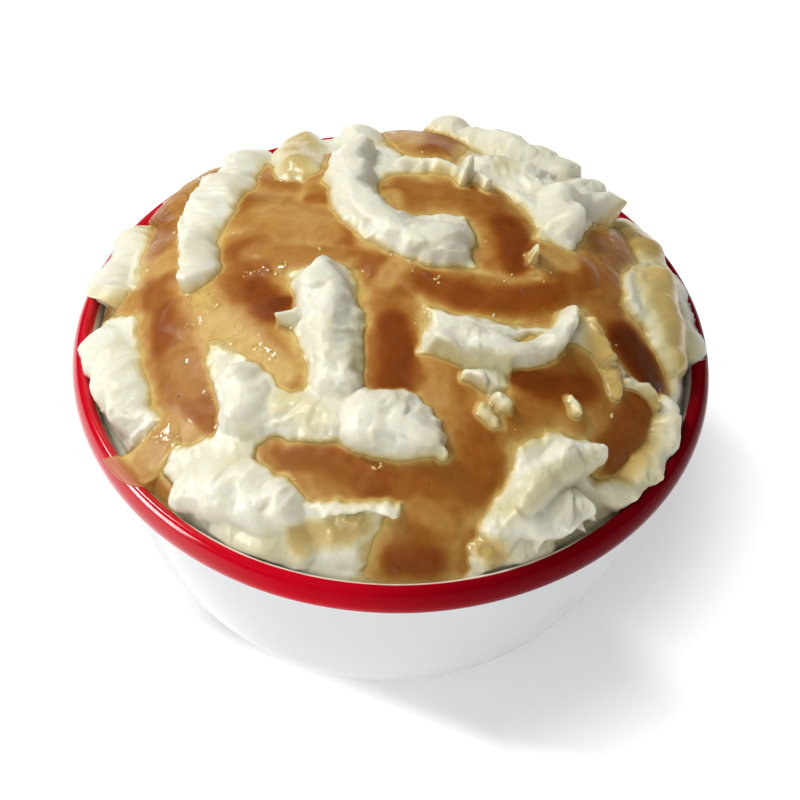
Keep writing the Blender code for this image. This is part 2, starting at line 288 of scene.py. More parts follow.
def beadPoint(degrees, lift=0.0):  # on the rim's bead: 0 is outermost, 90 is on top
    angle = np.radians(degrees)
    radius = beadCenter[0] + (bowl["beadHalfWidth"] + lift) * np.cos(angle)
    height = beadCenter[1] + (bowl["beadHalfHeight"] + lift) * np.sin(angle)
    return np.stack([radius, height], axis=-1)


enamel = {  # millimetres, and colours
    "redFrom": 56.2,  # where the red starts inside the rim
    "redFromFront": 1.3,  # and how much further out it starts at the front, where the cream line shows as a painted highlight
    "redOverlap": 0.3,
    "pitSpacing": 9.0,
    "white": ((0.66, 0.675, 0.69, 1), (0.7, 0.712, 0.73, 1)),
    # paler white for the inner wall: painted light where that wall lies in shade
    "inside": (0.88, 0.89, 0.87, 1),
    "red": ((0.5, 0.0008, 0.009, 1), (0.6, 0.0015, 0.014, 1)),
    "redShadePainted": (0.1, 0.0003, 0.003, 1),  # painted shade: darker red on the side away from the light
    # cream line at the red's inner edge: the white enamel's edge, and at the front a painted highlight
    "creamLineAndHighlight": (0.85, 0.72, 0.58, 1),
    "pit": (0.12, 0.1, 0.1, 1),
}


def enamelFinish():
    finish = Finish("enamel", Specular_IOR_Level=0.02, Coat_Roughness=0.14)
    x, y, z = finish.coordinates()
    radius = (x * x + y * y) ** 0.5
    wander = (finish.grain(6.0, 1.0) - 0.5) * (0.5 * mm)
    innerEdge = enamel["redFrom"] * mm + enamel["redFromFront"] * mm * (0 - y).between(34 * mm, 52 * mm)
    lowEdge = (bowl["height"] - 2 * bowl["beadHalfHeight"] + enamel["redOverlap"]) * mm
    red = (radius + wander * 0.4).between(innerEdge - 0.12 * mm, innerEdge + 0.12 * mm)
    red = red * (z + wander).between(lowEdge - 0.15 * mm, lowEdge + 0.15 * mm)
    # the cream line: the white enamel's edge, and at the front a painted highlight
    fold = 1 - (radius + wander * 0.4 - innerEdge).absolute().between(0.15 * mm, 0.35 * mm)
    cloud = finish.grain(14.0, 2.0)
    white = finish.blend(cloud, *enamel["white"])
    topRadius, topHeight = bowl["wallTop"]
    wallHere = topRadius * mm - (topHeight * mm - z) * math.tan(bowl["wallLean"])
    # painted light: the inner wall near the top is paler than the outer white
    inner = (wallHere - radius).between(0.4 * mm, 0.8 * mm) * z.between(36 * mm, 38 * mm)
    white = finish.blend(inner, white, enamel["inside"])
    shade = finish.blend(cloud, *enamel["red"])
    # painted shade: the red darkens towards the right and front, away from the light
    shade = finish.blend((x - 0.4 * y).between(0, 55 * mm) * 0.9, shade, enamel["redShadePainted"])
    color = finish.blend(red, white, shade)
    color = finish.blend(fold * 0.7, color, enamel["creamLineAndHighlight"])
    cells = {"Vector": finish.place(), "Scale": 1 / (enamel["pitSpacing"] * mm)}
    pit = 1 - finish.node("TexVoronoi", None, cells).between(0.02, 0.035)
    color = finish.blend(pit * 0.7, color, enamel["pit"])
    ripple = finish.grain(2.6, 1.0)
    return finish.feed(
        Base_Color=color,
        Normal=finish.bump(ripple, 0.02, finish.bump(pit, -0.05)),
        Roughness=0.1 + 0.08 * cloud,
        Coat_Weight=1.0 - 0.985 * x.between(-50 * mm, -15 * mm),
    )


def makeBowl():
    radius, height = bowl["recessRadius"], bowl["recess"]
    section = [(radius, height), (radius + bowl["footStep"], 0.0), *wallLine(0.0)]
    section += [beadPoint(degrees) for degrees in np.linspace(-125, 155, bowl["beadSteps"] + 1)]
    section += [*wallLine(bowl["sheet"])[::-1], (radius, height + bowl["sheet"])]
    deselectAll()
    mesh.primitive_circle_add(vertices=bowl["segments"], radius=radius * mm, location=(0, 0, height * mm))
    piece = bpy.context.object
    piece.name = "bowl_enamel"
    bpy.ops.object.transform_apply(location=True)
    bpy.ops.object.mode_set(mode="EDIT")
    mesh.select_mode(type="EDGE")
    selectAll()
    for ring, nextRing in zip(section, section[1:]):
        extrudeRing(*ring, *nextRing)
    mesh.edge_face_add()  # the floor inside
    mesh.select_all(action="DESELECT")
    mesh.select_non_manifold()
    mesh.edge_face_add()  # the bottom
    turnOutward()
    points = readPoints(piece)
    turn = np.arctan2(points[:, 1], points[:, 0])
    reach = np.hypot(points[:, 0], points[:, 1])
    around = noise(np.cos(turn) * 40, np.sin(turn) * 40 + points[:, 2], bowl["waveSize"], 91)
    dent = bowl["waviness"] * around * ease(30, 50, reach) * ease(0, 4, points[:, 2])
    inward = np.clip(1 - (dent.max() + 0.02 - dent) / reach, 0, 1)[:, None]
    points[:, :2] *= inward
    writePoints(piece, points)
    piece.data.shade_smooth()
    piece.data.materials.append(enamelFinish())
    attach(piece, "root")
    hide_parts("bowl")
    print("bowl made:", len(piece.data.polygons), "faces")


# the heap lies on a dome that stands in the bowl; (u, v) are millimetres walked over it from its peak
heap = {
    "edgeHeight": 51.0,
    "domeHeight": 27.0,
    "radialPower": 2.2,
    "uprightPower": 1.8,
    "grid": 300,
    "wallGap": 0.06,
    "blend": 0.8,
    "sideSlope": 3.0,
    "wave": 0.5,
    "edgeMargin": 3.2,
    "clearance": 0.05,
    "rings": (49.2, 44.0, 30.0, 12.0),  # heights of the potato's side in the bowl
}

# each fold: height above the dome, which way its top leans, its places (u, v, half width)
folds = {
    "left lobe": (5, -0.9, 0.4, (-55, 29, 3.6), (-59.5, 23, 4.8), (-60, 15, 4.8), (-55.5, 6, 2.6)),
    "left back bank": (1.8, 0, 0, (-52, 34, 4), (-46, 40, 4), (-36, 50, 4)),
    "long left band": (
        3, -0.3, 0, (-31, 47, 5.5), (-33, 35, 6.2), (-35.3, 25, 6.4),
        (-37.6, 17, 5), (-37.8, 9, 4), (-37.2, 3, 4), (-38, -1, 2.6),
    ),
    "back left mound": (2.6, 0, 0, (-20, 46, 5), (-19.5, 31, 5)),
    "back shoulder": (2.4, 0, 0, (-9, 56, 5), (-8, 46, 5)),
    "curl": (
        4.6, 0.1, -0.3, (-8, 34.6, 3.2), (-9, 30, 4.6), (-8.5, 22, 5),
        (-6.5, 14, 4.8), (-0.5, 8, 5.2), (5.5, 6, 5.8), (9.5, 5.6, 5.4),
    ),
    "back chips": (1.5, 0, 0, (0.5, 30.6, 1.2), (6, 29.6, 1.2), (10, 28.2, 1)),
    "white chip": (3.8, 0, -0.3, (12.8, 29.5, 1.5), (12.8, 25.5, 1.6)),
    "small chip": (3, 0, -0.3, (15.8, 27, 0.9), (17.3, 25, 1.1)),
    "back crest": (5.2, 0.2, 0.2, (7, 52, 2.2), (12, 50, 3.4), (18, 46, 4), (24, 43, 5.6), (32, 38, 6)),
    "back face": (2.6, 0, 0, (17, 34, 3), (23, 33, 5.6), (30, 30, 5)),
    "back step": (4, 0.2, 0.1, (38, 34, 4.5), (32, 26, 5.2), (31.5, 17.5, 4.2)),
    "step chip": (3.2, 0, -0.2, (25.4, 6.4, 0.9), (25.6, 4.4, 1)),
    "step corner": (4.6, 0.4, 0.3, (38, 29, 2.6), (42, 30, 2.2)),
    "right shoulder": (3, 0, 0, (54, 15, 4.4), (54.5, 6, 6.6), (57.5, -3, 5.2)),
    "right back lobe": (3.2, 0.4, 0.2, (49, 36, 3.6), (54, 28, 4.4), (56, 23, 3.6)),
    "right lobe": (3.8, 0.6, 0, (58, 24, 3), (62, 14, 4.4), (63.5, 3, 4)),
    "middle lump": (4, 0, 0, (-12.8, -5.4, 4.8), (-12, -12, 5.6), (-10.6, -19, 5.6), (-9.8, -27, 4.4)),
    "spike chip": (3, -0.2, 0, (-20.3, -14.2, 0.7), (-17.5, -12.5, 1.5)),
    "left lump": (3.8, 0, -0.1, (-27.6, -25.8, 4.6), (-26.5, -31.6, 5.4)),
    "left lump skirt": (1.6, 0, 0, (-20, -32, 4.5), (-12, -35, 4)),
    "left bank": (3.2, 0, 0, (-62, -4, 5), (-57, -13, 6), (-52.5, -24, 5.6)),
    "crescent": (
        4.6, 0, -0.3, (9.5, -18.8, 3.2), (14, -18.2, 4.2), (19.5, -18.8, 3.2),
        (25, -18.4, 2.4), (30, -13.6, 2.2), (32.2, -7.6, 2.1),
    ),
    "crescent foot": (2.8, 0, -0.2, (14.6, -24.8, 1.5), (16, -25.4, 1.5)),
    "front lump": (5, 0.1, -0.2, (-3, -35, 6.2), (1.5, -35.6, 6.6), (7, -37.5, 3.2)),
    "lump chip": (2.4, 0.2, 0, (8.6, -38.5, 1.2), (9.8, -40.5, 1.1)),
    "crumb": (2.8, 0, -0.2, (20, -28.2, 1.4), (21, -29.6, 1.4)),
    "crumb foot": (1.2, 0, 0, (17.5, -31, 1.6), (19.5, -33, 1.6)),
    "far crumb": (2.6, 0, -0.2, (33.6, -25.8, 1.3), (34.4, -27, 1.5)),
    "finger": (2.4, 0.2, 0, (35.8, -8.6, 1.3), (38.4, -10.6, 2), (40.2, -14, 1.6)),
    "finger end": (1.2, 0.1, -0.1, (41.5, -16.5, 1.3), (43.2, -21, 1.1)),
    "thin ridge": (0.9, 0, 0, (44.6, -17.2, 0.7), (50, -17, 0.7), (53.5, -18.6, 0.8)),
    "right ridge": (4, -0.1, 0.2, (22.4, -53.4, 4), (28, -45, 4.2), (34.6, -38, 4.2), (40, -34, 2.8)),
    "torn flap": (5.2, 0.2, 0, (27.4, -51, 3), (32.8, -48.2, 3.8), (38, -44.8, 3)),
    "flap spike": (3, 0, -0.25, (29.3, -51, 1.7), (29.7, -53.6, 1)),
    "flap end": (3, 0.2, -0.1, (38.6, -44.4, 1.7), (41, -45.4, 0.9)),
    "flap tip": (2.6, 0.2, -0.1, (37, -46.8, 1.6), (39.4, -48.2, 0.9)),
    "right bank": (3.2, 0, 0, (57, -16.5, 2.2), (57, -25, 3), (52.5, -34, 3), (45.5, -41, 3)),
    "front left bank": (3.6, 0, 0, (-41, -45, 3.6), (-34, -45.5, 6), (-21, -50.5, 6)),
    "front left foot": (2, 0, 0, (-34, -54, 4), (-18, -58, 4)),
    "front strip": (2.4, 0, -0.4, (-11.5, -50.8, 1), (2.5, -50.8, 1.1)),
    "strip chip": (1.8, 0, -0.4, (-8, -53, 1.3), (-5.5, -53.6, 1.3)),
    "front right foot": (2.2, 0, 0, (21, -58, 4), (33, -54, 3)),
}

# each run of gravy: height of its surface above the dome, its depth, its places (u, v, half width)
runs = {
    "left stream crown": (2.6, 0.5, (-41.5, 44, 4.4), (-44.5, 37, 5), (-46.5, 31, 4.4)),
    "left stream top": (-0.2, 2.2, (-45, 40, 5), (-47, 30, 7), (-47, 16, 6.2), (-46.5, 4, 5.6)),
    "left stream": (
        -0.6, 2.6, (-46.5, 4, 5.6), (-44, -10, 7), (-41, -20, 8), (-39.5, -26, 7), (-38, -30.5, 6.6)
    ),
    "left branch": (-0.2, 1.4, (-47, 0, 5), (-54, 3, 4.4), (-62, 8, 3)),
    "rim run": (-0.3, 1.6, (-43, -31, 3.5), (-50, -36, 5.6), (-60, -39, 6.4)),
    "rim run tip": (-0.2, 1.6, (-50, -38, 5), (-46.5, -44.5, 2.6)),
    "left pool": (
        0.2, 1.6, (-40, -7, 5.4), (-35, -7, 7.5), (-30, -10, 8.5), (-24, -15, 5.6), (-17.5, -26.5, 3.4)
    ),
    "middle pool": (0.2, 2.4, (-28, 21, 5.5), (-24, 14, 10), (-10, 8, 5.6), (0, 1, 5.4)),
    "middle pool back": (0, 1.8, (-27.5, 38, 2.6), (-25.5, 27, 3.2), (-20, 23, 3.6)),
    "mound run": (0.2, 1.6, (-12.5, 36, 2.4), (-14.5, 27, 3.2), (-15, 20, 4.6)),
    "middle pit": (-0.6, 2.6, (-29, 6, 7), (-26.5, -3, 7.6), (-22.5, -9, 5.6)),
    "lump top": (0, 2, (-22, 2, 4), (-12, 2.5, 3.4), (-4, 2, 3)),
    "middle stream": (-0.8, 2.6, (-2, 2, 6.4), (-0.5, -9, 7.4), (0, -19, 7.4), (-1.5, -26, 7.2)),
    "curl stream": (-0.2, 2.6, (3, 21, 8), (12, 21.5, 8.4), (19.5, 16, 7.6), (21, 5, 6.6)),
    "right pool": (-0.4, 2.4, (4, -3, 5), (13, -5.5, 6.8), (22, -5.5, 7.6), (28, -3, 6.4), (35, 1, 5.6)),
    "right link": (0.5, 1.6, (28, 6, 5), (34, 5.5, 5.4)),
    "right stream": (-0.4, 2.4, (50, 33, 5), (45.5, 23, 6.6), (40.5, 13, 6.4), (39, 2, 6.6)),
    "right deep": (-0.6, 2.4, (39, 2, 6.2), (46, -7, 7.6), (54, -12, 6)),
    "right fall": (-0.5, 2.4, (54, -12, 5), (51, -19, 7.4), (47.5, -26, 9.4), (44, -34, 6.8)),
    "lower right pool": (-0.3, 2.2, (25, -20.5, 6.6), (33, -19, 8), (40, -24, 7.6)),
    "middle link": (-0.8, 2.6, (2, -24, 5.5), (9, -26, 5)),
    "lower right skirt": (-0.1, 2, (17, -33, 5), (24, -30, 6.4), (34, -27.5, 6.2)),
    "middle right stream": (-0.6, 2.4, (9, -24, 6), (13, -31, 7.8), (17, -39, 7.8)),
    "front band": (-0.2, 2.6, (-21.5, -40.5, 4), (-13, -43.5, 6), (0, -46.8, 5.6), (10, -46, 6.8)),
    "front band end": (-0.2, 2.6, (10, -46, 6.8), (19, -42, 5.6)),
    "front fall": (-0.2, 2.2, (12, -47, 9.6), (9, -56, 11.2), (7, -65, 14)),
    "back pool": (1.5, 2.2, (2, 58, 8), (5, 48, 9), (6, 39, 6.4)),
}

# films of gravy and tints on the potato, some of them painted shade where it lies away from the light: how
# brown, how yellow, then (u, v, half width)
tints = {
    "skirt": (0.34, 0.3, (-19, -30, 5), (-14, -35, 6)),
    "lump edge": (0.1, 0.5, (-5.5, -3, 2.5), (-5.5, -14, 2.5), (-6, -24, 2.5)),
    "lump top": (0.25, 0.6, (-22, -1, 4), (-16, -1.5, 3)),
    "back mound": (0.8, 0.8, (-20, 46, 6), (-19, 29, 6)),
    "crest foot": (0, 0.65, (9, 44, 4), (17, 40, 5), (20, 33, 4)),
    "pocket": (0.5, 0.5, (30, 9, 3), (31, 4, 4)),
    # painted shade: the right shoulder lies away from the light
    "right shoulder": (0.85, 0.9, (52, 16, 7), (54, 6, 8), (58, -4, 7)),
    "right film": (1, 0.2, (46, 31, 7), (56, 26, 7)),
    "finger": (1, 0.3, (36, -5, 4), (40, -13, 5), (43, -20, 4), (52, -20, 4)),
    # painted shade in the valleys
    "valley": (0.7, 0.6, (22, -35, 5), (28, -32, 5), (37, -29, 4)),
    "low valley": (0.1, 0.8, (22, -50, 3), (29, -43, 3.6), (38, -37, 3.6)),
    "right bank": (0.05, 0.6, (58, -22, 7), (46, -42, 6)),
    # painted shade at the foot of the right front
    "front right foot": (0.92, 0.6, (15, -54.5, 4), (22, -57, 4)),
    "right bank inside": (1, 0.3, (53, -22, 3.2), (50.5, -29, 3.8), (46, -35.5, 3.4)),
    "front left foot": (0.1, 0.6, (-30, -55, 4), (-18, -57, 4)),
    # painted shade where the potato meets the wall
    "wall side": (0.05, 0.7, (24, -60, 6), (42, -50, 6), (58, -30, 6)),
    "front foot": (0.8, 0.8, (-17, -56.5, 4), (-10, -55, 5), (-4, -54.5, 4)),
    "left bank side": (0, 0.35, (-62, -15, 4), (-56, -30, 4), (-42, -48, 4)),
    "lump base": (0.1, 0.4, (-26, -38, 4), (-30, -41, 4)),
    "crescent foot": (0.3, 0.5, (8, -21.5, 2.4), (20, -21.5, 2.4)),
    "strip foot": (0.3, 0.3, (-3, -55, 4), (2, -53.5, 3)),
}

# where the potato has been smeared even: how even, then (u, v, half width)
calm = {
    "right shoulder": (0.75, (52, 18, 8), (54, 6, 9), (57, -4, 8)),
    "front left foot": (0.7, (-36, -50, 5), (-28, -55, 6), (-14, -57, 5)),
    "back mound": (0.75, (-20, 48, 7), (-19, 27, 7)),
    "right lobe": (0.6, (50, 34, 7), (58, 24, 7), (62, 8, 7)),
    "left lump": (0.4, (-26, -29, 6), (-18, -33, 6)),
}

# where the potato stands away from the wall: how far, then from and to these degrees round the bowl
gaps = {
    "left": (1.1, 183, 214),
    "lower left": (0.5, 218, 244),
    "right": (1.8, 340, 358),
    "lower right": (0.8, 300, 334),
}

rough = {  # how uneven the potato is: (size of the bumps, how high or how far, seed), millimetres
    "edgeWander": (6.6, 1.05),
    "edgeTears": (2.3, 0.58),
    "crests": (6.0, 0.32, 5),
    "creases": (5.5, 0.42, 10),
    "blocks": (4.2, 0.7, 14),
    "lumps": (2.2, 0.33, 11),
    "crumbs": (1.2, 0.11, 12),
    "grit": (0.9, 0.05, 13),
    "peak": 3.8,  # folds are pressed down above this
}

# how the gravy wets the potato: (size of the patches, seed), and rounds of evening out for each reach
wetting = {
    "patches": (9.0, 41),
    "narrow": 8,
    "wide": 60,
    "butter": 90,
    "hollow": (60, 4),
    "leanFrom": 0.6,  # height above the gravy where a fold starts to lean
}


def innerRadius(height):
    line = wallLine(bowl["sheet"] + heap["wallGap"])
    return np.interp(height, line[:, 1], line[:, 0])


def domeLine():
    angle = np.linspace(0, math.pi / 2, 3000)
    radius = innerRadius(heap["edgeHeight"]) * np.sin(angle) ** (2 / heap["radialPower"])
    height = heap["domeHeight"] * np.cos(angle) ** (2 / heap["uprightPower"])
    walked = np.concatenate([[0.0], np.cumsum(np.hypot(np.diff(radius), np.diff(height)))])
    outward, upward = -np.gradient(height, walked), np.gradient(radius, walked)
    return walked, radius, heap["edgeHeight"] + height, outward, upward


dome = domeLine()
spread = dome[0][-1]


def curvePath(path, steps=4):  # more points, on a curve through the given ones
    nodes = np.array([path[0], *path, path[-1]], float)
    points = []
    for a, b, c, d in zip(nodes, nodes[1:], nodes[2:], nodes[3:]):
        for t in np.arange(steps) / steps:
            bend, twist = 2 * a - 5 * b + 4 * c - d, 3 * b - a - 3 * c + d
            points.append(0.5 * (2 * b + (c - a) * t + bend * t**2 + twist * t**3))
    return np.array([*points, nodes[-1]])


def inside(u, v, path):  # millimetres inside a stroke's edge, and its share from edge to middle
    depth = share = np.full(u.shape, -np.inf)
    nodes = curvePath(path)
    for (u0, v0, width0), (u1, v1, width1) in zip(nodes, nodes[1:]):
        du, dv = u1 - u0, v1 - v0
        t = np.clip(((u - u0) * du + (v - v0) * dv) / max(du * du + dv * dv, 1e-9), 0, 1)
        width = width0 + t * (width1 - width0)
        distance = np.hypot(u - u0 - t * du, v - v0 - t * dv)
        depth = np.maximum(depth, width - distance)
        share = np.maximum(share, 1 - distance / width)
    return depth, np.clip(share, 0, 1)


def mound(share):  # section of a fold
    return 1 - (1 - share) ** 2.0


def reliefFields(u, v):  # heights above the dome: potato and gravy, and how far the folds lean
    wander, tears = rough["edgeWander"], rough["edgeTears"]
    evenU, evenV = u + layer((*wander, 1), u, v), v + layer((*wander, 3), u, v)
    wanderU, wanderV = evenU + layer((*tears, 2), u, v), evenV + layer((*tears, 4), u, v)
    waves = heap["wave"] * np.sin(u * 0.31 + 0.8 * np.sin(v * 0.17)) * np.sin(v * 0.27 + 1.1)
    bed = np.zeros_like(u)
    gravy = near = np.full_like(u, -9.0)  # near: how high the nearest gravy has licked the potato
    for level, depth, *path in runs.values():
        inward, share = inside(wanderU, wanderV, path)
        fullness, outside = mound(share) ** 0.8, np.minimum(inward, 0)
        surface = level - 0.9 * (1 - fullness)
        gravy = np.maximum(gravy, surface + heap["sideSlope"] * outside)
        near = np.maximum(near, surface + 0.45 * outside)
        under = (level - depth) * fullness
        bed = np.where(np.abs(under) > np.abs(bed), under, bed)
    mash = waves + bed
    leanU = leanV = standing = np.zeros_like(u)
    crest = 1 + layer(rough["crests"], u, v)
    for height, alongU, alongV, *path in folds.values():
        inward = inside(wanderU, wanderV, path)[0]  # torn at its edge, even in its middle
        depth, share = inside(evenU, evenV, path)
        inward = inward + (depth - inward) * ease(0.4, 2.4, depth)
        share = np.where(depth > 0.05, share * np.clip(inward / np.maximum(depth, 0.05), 0, 2), share)
        section = mound(np.clip(share, 0, 1))
        fold = waves + height * crest * section + heap["sideSlope"] * np.minimum(inward, 0)
        mix = np.clip(0.5 + 0.5 * (mash - fold) / heap["blend"], 0, 1)
        mash = fold + (mash - fold) * mix + heap["blend"] * mix * (1 - mix)
        leanU = leanU * mix + alongU * section * (1 - mix)
        leanV = leanV * mix + alongV * section * (1 - mix)
        standing = standing * mix + section * (1 - mix)
    bumpy = 0.35 + 0.65 * np.clip(standing * 2, 0, 1)
    for evenness, *path in calm.values():
        bumpy = bumpy * (1 - evenness * ease(0, 0.5, inside(evenU, evenV, path)[1]))
    climbU, climbV = wanderU + 0.8 * mash, wanderV + 0.8 * mash  # so that steep sides aren't streaked
    size, amount, seed = rough["creases"]
    creases = 0.35 - np.abs(noise(climbU, climbV, size, seed))
    mash = mash + amount * creases * np.clip(standing * 1.5, 0, 1) * bumpy
    for size, amount, seed in (rough["blocks"], rough["lumps"], rough["crumbs"]):
        mash = mash + amount * chunks(climbU, climbV, size, seed) * bumpy
    mash = mash + layer(rough["grit"], u, v)
    peak = rough["peak"] + 0.02 * np.hypot(u, v)
    mash = np.where(mash > peak, peak + (mash - peak) * 0.3, mash)
    toEdge = spread - np.hypot(u, v)  # nothing stands up at the wall itself
    mash = mash * np.clip(toEdge / heap["edgeMargin"], 0, 1)
    turn = np.degrees(np.arctan2(v, u)) % 360
    for width, start, end in gaps.values():
        part = ease(start - 4, start + 4, turn) * ease(end + 4, end - 4, turn)
        mash = mash - width * part * (1 - ease(0, 3.2, toEdge))
    brown = yellow = np.zeros_like(u)
    for brownness, yellowness, *path in tints.values():
        share = ease(-0.1, 0.8, inside(wanderU, wanderV, path)[1])
        brown = np.maximum(brown, brownness * share)
        yellow = np.maximum(yellow, yellowness * share)
    return dict(mash=mash, gravy=gravy, near=near, leanU=leanU, leanV=leanV, brown=brown, yellow=yellow)


def onDome(u, v, raised):  # the point raised from the dome at (u, v), kept clear of the bowl
    walked, radius, height, outward, upward = dome
    distance = np.hypot(u, v)
    lookup = np.minimum(distance, spread)
    r = np.interp(lookup, walked, radius) + raised * np.interp(lookup, walked, outward)
    r = r + np.maximum(distance - spread, 0)
    z = np.interp(lookup, walked, height) + raised * np.interp(lookup, walked, upward)
    (middle, level), halfWidth, halfHeight = beadCenter, bowl["beadHalfWidth"], bowl["beadHalfHeight"]
    clear = heap["clearance"]
    inBowl = z < level
    r = np.where(inBowl, np.minimum(r, innerRadius(np.minimum(z, heap["edgeHeight"]))), r)
    overBead = ~inBowl & (r > middle - halfWidth - clear)
    up = np.clip((z - level) / halfHeight, 0, 1)
    besideBead = middle - (halfWidth + clear) * np.sqrt(1 - up**2)
    below = overBead & (z < bowl["height"] - 1.0)
    r = np.where(below, np.minimum(r, besideBead), r)
    across = np.clip((r - middle) / halfWidth, -1, 1)
    beadTop = level + halfHeight * np.sqrt(1 - across**2)
    z = np.where(overBead & ~below, np.maximum(z, beadTop + clear), z)
    angle = np.arctan2(v, u)
    return np.stack([r * np.cos(angle), r * np.sin(angle), z], axis=-1)


def discGrid(count):  # a square grid bent into a disc, as (u, v)
    steps = np.linspace(-1, 1, count + 1)
    a, b = np.meshgrid(steps, steps, indexing="ij")
    wide = np.abs(a) >= np.abs(b)
    reach = np.where(wide, a, b)
    share = np.where(wide, b, a) / np.where(reach == 0, 1, reach)
    turn = share * math.pi / 4
    along, across = reach * np.cos(turn) * spread, reach * np.sin(turn) * spread
    return np.where(wide, along, across), np.where(wide, across, along)


def blurred(field, times):  # evens out a field over neighbouring points of the grid
    for step in range(times):
        wider = np.pad(field, 1, mode="edge")
        field = (4 * field + wider[2:, 1:-1] + wider[:-2, 1:-1] + wider[1:-1, 2:] + wider[1:-1, :-2]) / 8
    return field


def makeSheet(name):  # the heap's top as a flat sheet, which carries its fields on its vertices
    deselectAll()
    count = heap["grid"]
    mesh.primitive_grid_add(x_subdivisions=count, y_subdivisions=count, size=2.0)
    piece = bpy.context.object
    piece.name = name
    square = readPoints(piece)[:, :2].T * mm
    column, row = np.rint((square + 1) / 2 * count).astype(int)
    u, v = discGrid(count)
    fields = {"u": u, "v": v, **reliefFields(u, v)}
    mash, gravy = fields["mash"], fields["gravy"]
    covered = (gravy > mash + sauce["cut"]).astype(float)
    rise = np.clip(mash - np.maximum(gravy, -0.5) - wetting["leanFrom"], 0, 4)
    fields["leanU"] *= rise
    fields["leanV"] *= rise
    narrow, wide = blurred(covered, wetting["narrow"]), blurred(covered, wetting["wide"])
    share = ease(-0.6, 0.6, noise(u, v, *wetting["patches"]))
    fields["wet"] = narrow + 0.6 * share * (wide - narrow)
    fields["wetWide"] = blurred(covered, wetting["butter"])
    # painted shade: how far the potato lies below its surroundings, for darkening its dips
    around, here = (blurred(mash, times) for times in wetting["hollow"])
    fields["hollow"] = around - here
    for field, values in fields.items():
        writeField(piece, field, values[column, row])
    writePoints(piece, np.stack([u[column, row], v[column, row], np.zeros(len(column))], axis=-1))
    bpy.ops.object.mode_set(mode="EDIT")
    makeTriangles()
    closeEdit()
    return piece


potato = {  # colours
    "plain": ((0.75, 0.725, 0.58, 1), (0.785, 0.775, 0.67, 1)),
    # painted shade: olive darkening in the dips between the folds
    "hollow": (0.62, 0.56, 0.32, 1),
    "butter": (0.58, 0.53, 0.29, 1),
    "fine": (0.68, 0.65, 0.5, 1),
    "film": (0.7, 0.62, 0.32, 1),
    "soaked": (0.56, 0.4, 0.13, 1),
}


def potatoFinish():
    under = {"Subsurface_Radius": (1.0, 0.78, 0.42), "Subsurface_Scale": 1.7 * mm}
    finish = Finish("potato", Subsurface_Weight=0.7, Coat_Roughness=0.2, Specular_IOR_Level=0.35, **under)
    stain = finish.field("stain")
    fine = finish.grain(1.3, 4.0, 0.6)
    color = finish.blend(finish.grain(9.0, 3.0), *potato["plain"])
    color = finish.blend(finish.field("hollow").between(-0.3, 2.2) * 0.7, color, potato["hollow"])
    color = finish.blend(finish.field("butter"), color, potato["butter"])
    color = finish.blend(fine * 0.15, color, potato["fine"])
    color = finish.blend(stain.between(0.0, 0.6) * 0.8, color, potato["film"])
    color = finish.blend(stain.between(0.3, 1.0), color, potato["soaked"])
    pores = finish.grain(0.55, 3.0, 0.6)
    return finish.feed(
        Base_Color=color,
        Roughness=0.5 - 0.2 * stain + 0.12 * (fine - 0.5),
        Coat_Weight=0.1 + 0.4 * stain,
        Normal=finish.bump(pores, 0.05, finish.bump(fine, 0.12)),
    )


def makeMash(sheet):
    piece = sheet.copy()
    piece.data = sheet.data.copy()
    piece.name = "mashed_potato"
    link(piece)
    u, v, mash, leanU, leanV, near = readFields(piece, "u", "v", "mash", "leanU", "leanV", "near")
    wet, wetWide, brown, yellow = readFields(piece, "wet", "wetWide", "brown", "yellow")
    writePoints(piece, onDome(u + leanU, v + leanV, mash))
    above = mash - near + 0.8 * noise(u, v, 5.0, 32)
    stain = 0.85 * np.maximum(ease(1.5, -0.4, above), ease(0.05, 0.55, wet))
    # the tints' brown joins the stain: partly gravy film, partly painted shade
    writeField(piece, "stain", np.maximum(stain, brown))
    # butter tint, with the tints' yellow, part of which is painted shade
    butter = 0.4 * noise(u, v, 9.0, 31) + 0.4 * wetWide
    writeField(piece, "butter", np.clip(butter + yellow, 0, 1))
    openForEdit(piece, "EDGE")
    mesh.select_non_manifold()
    heights = (heap["edgeHeight"], *heap["rings"], bowl["recess"] + bowl["sheet"] + heap["wallGap"])
    for height, nextHeight in zip(heights, heights[1:]):
        extrudeRing(innerRadius(height), height, innerRadius(nextHeight), nextHeight)
    mesh.edge_face_add()
    turnOutward()
    points = readPoints(piece)
    reach = np.hypot(points[:, 0], points[:, 1])
    outward = np.where(points[:, 2] < 49.5, innerRadius(points[:, 2]) / np.maximum(reach, 1), 1)
    points[:, :2] *= outward[:, None]
    writePoints(piece, points)
    piece.data.shade_smooth()
    piece.data.materials.append(potatoFinish())
    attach(piece, "root")
    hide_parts("mash")
    print("mashed potato made:", len(piece.data.polygons), "faces")


sauce = {  # the gravy, millimetres
    "cut": 0.12,
    "fillet": 0.7,
    "under": 0.05,
    "film": 0.004,
    "ripples": ((7.0, 0.22, 21), (2.6, 0.09, 23)),  # size, height, seed
    "grains": (1.1, 0.14, 22),
    "stops": (  # colours from thin to deep
        (0.0, (0.6, 0.42, 0.12)), (0.08, (0.51, 0.295, 0.085)), (0.16, (0.42, 0.2, 0.042)),
        (0.26, (0.33, 0.12, 0.018)), (0.38, (0.25, 0.062, 0.006)), (0.5, (0.175, 0.037, 0.003)),
        (0.66, (0.12, 0.024, 0.002)), (1.0, (0.05, 0.01, 0.001)),
    ),
    "edge": (0.5, 0.34, 0.09, 1),
    "overRed": (0.5, 0.13, 0.08, 1),
}

